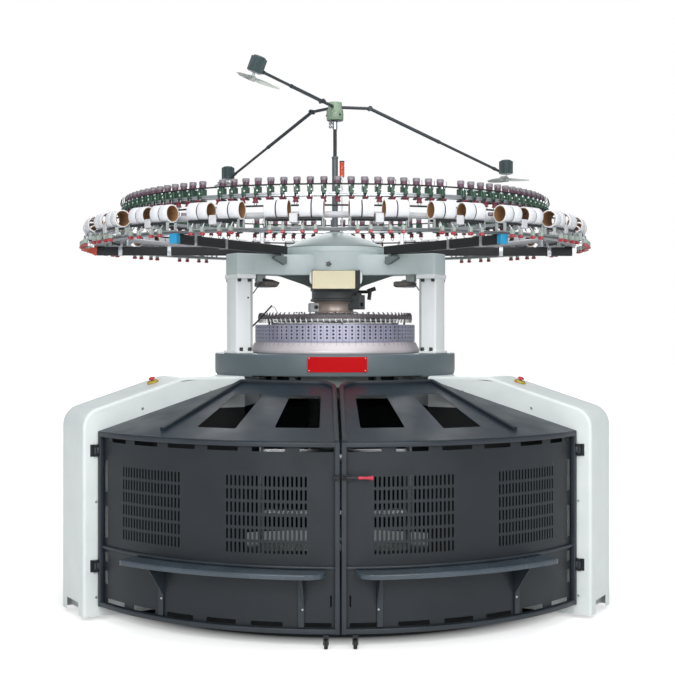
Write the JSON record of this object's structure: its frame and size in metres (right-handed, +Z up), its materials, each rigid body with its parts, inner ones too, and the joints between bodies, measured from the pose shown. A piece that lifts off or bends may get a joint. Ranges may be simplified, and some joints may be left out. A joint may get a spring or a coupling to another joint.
{
  "type": "circular knitting machine",
  "caption": "Large-diameter industrial circular knitting machine on three covered legs, with curved swing-out guard doors, a feeder ring and a turning lint fan on a mast",
  "frame": {"origin": "on the machine's axis, at floor level under the knitting head", "axes": "+Z up along the cylinder's axis, -Y towards the split between the front doors, +X to the right"},
  "size_m": [3.0998, 3.3013, 2.9478],
  "materials": {
    "door_paint": "semi-gloss",
    "cover_paint": "satin",
    "base_paint": "semi-gloss",
    "frame_paint": "semi-gloss",
    "dome_paint": "semi-gloss",
    "black_paint": "satin",
    "green_paint": "satin",
    "casting": "matt",
    "steel": "brushed",
    "cam_metal": "satin",
    "rail_metal": "satin",
    "feeder_green": "satin",
    "pulley_mauve": "satin",
    "yarn": "matt",
    "cradle_grey": "matt",
    "cream": "gloss",
    "plate_red": "gloss",
    "stop_red": "gloss",
    "stop_yellow": "satin",
    "lamp_dark": "matt",
    "motor_black": "satin",
    "blade_white": "satin",
    "wheel_rubber": "matt"
  },
  "bodies": {
    "frame": {"base_plate": "base_paint", "bearing_housing": "frame_paint", "leg_castings": "casting", "cover_left": "cover_paint", "cover_right": "cover_paint", "cover_rear": "cover_paint", "levelling_feet": "steel", "columns": "frame_paint", "crown": "frame_paint", "crown_dome": "dome_paint", "dial_drive": "steel", "upper_plate": "cream", "lower_plate": "plate_red", "work_lamps": "lamp_dark", "cam_boxes": "cam_metal", "saddle_ring": "steel", "yarn_guide_ring": "steel", "hinge_leaves": "door_paint", "rear_guard_left": "door_paint", "rear_guard_right": "door_paint", "estop_bases": "stop_yellow", "ring_beams": "black_paint", "ring_posts": "rail_metal", "ring_rails": "rail_metal", "feeder_housings": "feeder_green", "feeder_pulleys": "pulley_mauve", "package_cradles": "cradle_grey", "yarn_packages": "yarn", "mast": "black_paint", "signal_lamp": "stop_red"},
    "cylinder": {"needle_cylinder": "steel", "drive_ring": "casting", "takedown_frame": "frame_paint"},
    "dial": {"dial": "steel"},
    "nip_front": {"nip_roll_front": "wheel_rubber"},
    "nip_rear": {"nip_roll_rear": "wheel_rubber"},
    "fabric_shaft": {"fabric_shaft": "steel"},
    "right_door": {"right_door_frame": "door_paint", "right_door_sheet": "door_paint", "right_door_hood": "door_paint", "right_door_step": "door_paint"},
    "left_door": {"left_door_frame": "door_paint", "left_door_sheet": "door_paint", "left_door_hood": "door_paint", "left_door_step": "door_paint", "latch_catch": "steel"},
    "latch": {"latch_lever": "stop_red"},
    "right_caster": {"right_caster_fork": "steel"},
    "right_wheel": {"right_caster_wheel": "wheel_rubber"},
    "left_caster": {"left_caster_fork": "steel"},
    "left_wheel": {"left_caster_wheel": "wheel_rubber"},
    "estop_left": {"estop_button_left": "stop_red"},
    "estop_right": {"estop_button_right": "stop_red"},
    "fan": {"fan_hub": "green_paint", "fan_arms": "black_paint", "fan_motors": "motor_black"},
    "propeller_front": {"propeller_front": "blade_white"},
    "propeller_right": {"propeller_right": "blade_white"},
    "propeller_left": {"propeller_left": "blade_white"}
  },
  "joints": [
    {"name": "cylinder_turn", "type": "hinge", "parent": "frame", "child": "cylinder", "pos_m": [0, 0, 1.229], "axis": [0, 0, 1], "continuous": true},
    {"name": "dial_turn", "type": "hinge", "parent": "frame", "child": "dial", "pos_m": [0, 0, 1.576], "axis": [0, 0, 1], "continuous": true},
    {"name": "nip_front_turn", "type": "hinge", "parent": "cylinder", "child": "nip_front", "pos_m": [0, -0.043, 0.76], "axis": [1, 0, 0], "continuous": true},
    {"name": "nip_rear_turn", "type": "hinge", "parent": "cylinder", "child": "nip_rear", "pos_m": [0, 0.043, 0.76], "axis": [1, 0, 0], "continuous": true},
    {"name": "fabric_turn", "type": "hinge", "parent": "cylinder", "child": "fabric_shaft", "pos_m": [0, 0, 0.42], "axis": [1, 0, 0], "continuous": true},
    {"name": "right_door_swing", "type": "hinge", "parent": "frame", "child": "right_door", "pos_m": [1.26755, -0.94197, 0.588], "axis": [0, 0, 1], "range_deg": [0, 100]},
    {"name": "left_door_swing", "type": "hinge", "parent": "frame", "child": "left_door", "pos_m": [-1.26755, -0.94197, 0.588], "axis": [0, 0, -1], "range_deg": [0, 100]},
    {"name": "latch_turn", "type": "hinge", "parent": "right_door", "child": "latch", "pos_m": [0.0275, -1.571, 0.82], "axis": [0, 1, 0], "range_deg": [0, 90]},
    {"name": "right_caster_swivel", "type": "hinge", "parent": "right_door", "child": "right_caster", "pos_m": [0.07, -1.552, 0.072], "axis": [0, 0, 1], "continuous": true},
    {"name": "right_wheel_roll", "type": "hinge", "parent": "right_caster", "child": "right_wheel", "pos_m": [0.07, -1.536, 0.025], "axis": [1, 0, 0], "continuous": true},
    {"name": "left_caster_swivel", "type": "hinge", "parent": "left_door", "child": "left_caster", "pos_m": [-0.07, -1.552, 0.072], "axis": [0, 0, 1], "continuous": true},
    {"name": "left_wheel_roll", "type": "hinge", "parent": "left_caster", "child": "left_wheel", "pos_m": [-0.07, -1.536, 0.025], "axis": [1, 0, 0], "continuous": true},
    {"name": "estop_left_press", "type": "slide", "parent": "frame", "child": "estop_left", "axis": [0.2532, 0.1462, -0.9563], "range_m": [0, 0.006]},
    {"name": "estop_right_press", "type": "slide", "parent": "frame", "child": "estop_right", "axis": [-0.2532, 0.1462, -0.9563], "range_m": [0, 0.006]},
    {"name": "fan_turn", "type": "hinge", "parent": "frame", "child": "fan", "pos_m": [0, 0, 2.8], "axis": [0, 0, 1], "continuous": true},
    {"name": "propeller_front_turn", "type": "hinge", "parent": "fan", "child": "propeller_front", "pos_m": [-0.41956, -1.03845, 2.889], "axis": [0.3473, -0.1403, 0.9272], "continuous": true},
    {"name": "propeller_right_turn", "type": "hinge", "parent": "fan", "child": "propeller_right", "pos_m": [1.06016, 0.20607, 2.525], "axis": [0, 0, 1], "continuous": true},
    {"name": "propeller_left_turn", "type": "hinge", "parent": "fan", "child": "propeller_left", "pos_m": [-0.69742, 0.83116, 2.563], "axis": [0, 0, 1], "continuous": true}
  ],
  "couplings": [
    {"joint": "dial_turn", "follows": "cylinder_turn", "ratio": 1},
    {"joint": "nip_rear_turn", "follows": "nip_front_turn", "ratio": -1}
  ]
}
